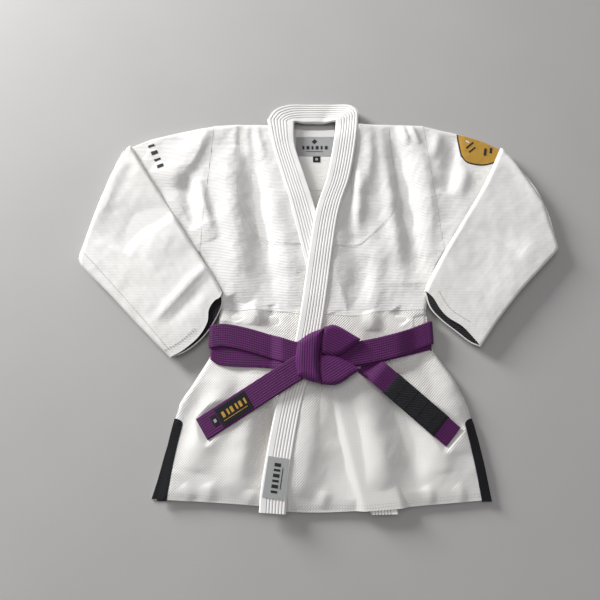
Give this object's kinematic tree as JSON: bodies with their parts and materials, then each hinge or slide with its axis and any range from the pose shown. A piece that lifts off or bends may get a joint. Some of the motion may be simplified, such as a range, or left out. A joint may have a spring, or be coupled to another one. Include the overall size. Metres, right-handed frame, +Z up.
{
  "type": "martial arts uniform",
  "caption": "White quilted-cotton martial arts jacket laid flat, sleeves folded over the front, padded collar crossed left over right and a purple cotton belt tied at the waist.",
  "frame": {"origin": "on the floor under the middle of the laid-out jacket", "axes": "+X towards the wearer's left side, +Y towards the collar, +Z up, out of the chest"},
  "size_m": [0.9183, 0.8012, 0.0483],
  "materials": {
    "body_cloth": "pearl weave cotton",
    "skirt_cloth": "diamond weave cotton",
    "collar_cloth": "ribbed ripstop cotton",
    "foam": "closed cell foam",
    "belt_cotton": "stitched cotton webbing",
    "black_cotton": "twill tape",
    "grey_label": "woven satin label",
    "gold_thread": "satin stitch embroidery"
  },
  "bodies": {
    "jacket": {"back_panel": "body_cloth", "back_skirt": "skirt_cloth", "right_front_panel": "body_cloth", "left_front_panel": "body_cloth", "right_front_skirt": "skirt_cloth", "left_front_skirt": "skirt_cloth", "right_chest_reinforcement": "body_cloth", "left_chest_reinforcement": "body_cloth", "back_neck_reinforcement": "body_cloth", "right_lapel_cover": "collar_cloth", "right_lapel_core": "foam", "left_lapel_cover": "collar_cloth", "left_lapel_neck_cover": "collar_cloth", "left_lapel_core": "foam", "neck_collar_cover": "collar_cloth", "neck_collar_core": "foam", "right_upper_sleeve": "body_cloth", "left_upper_sleeve": "body_cloth", "belt_outer_wrap": "belt_cotton", "belt_inner_wrap": "belt_cotton", "belt_knot": "belt_cotton", "right_front_vent_tape": "black_cotton", "left_front_vent_tape": "black_cotton", "right_back_vent_tape": "black_cotton", "left_back_vent_tape": "black_cotton", "neck_tape": "body_cloth", "neck_label": "grey_label", "neck_size_tab": "black_cotton", "lapel_label": "grey_label", "shoulder_badge": "gold_thread", "shoulder_badge_border": "black_cotton", "sleeve_marks": "black_cotton"},
    "right_forearm": {"right_forearm_sleeve": "body_cloth", "right_cuff_tape": "black_cotton"},
    "left_forearm": {"left_forearm_sleeve": "body_cloth", "left_cuff_tape": "black_cotton"},
    "right_belt_tail": {"belt_right_tail": "belt_cotton", "belt_label": "black_cotton", "belt_size_tag": "black_cotton"},
    "left_belt_tail": {"belt_left_tail": "belt_cotton", "belt_rank_bar": "black_cotton"}
  },
  "joints": [
    {"name": "right_sleeve_fold", "type": "hinge", "parent": "jacket", "child": "right_forearm", "pos_m": [-0.42175, 0.1775, 0.01305], "axis": [-0.3012, -0.9536, 0], "range_deg": [0, 180]},
    {"name": "left_sleeve_fold", "type": "hinge", "parent": "jacket", "child": "left_forearm", "pos_m": [0.41525, 0.1835, 0.01305], "axis": [-0.3931, 0.9195, 0], "range_deg": [0, 180]},
    {"name": "right_tail_lift", "type": "hinge", "parent": "jacket", "child": "right_belt_tail", "pos_m": [-0.064, -0.168, 0.0335], "axis": [-0.5316, 0.847, 0], "range_deg": [0, 110]},
    {"name": "left_tail_lift", "type": "hinge", "parent": "jacket", "child": "left_belt_tail", "pos_m": [0.104, -0.166, 0.0335], "axis": [-0.648, -0.7616, 0], "range_deg": [0, 110]}
  ]
}
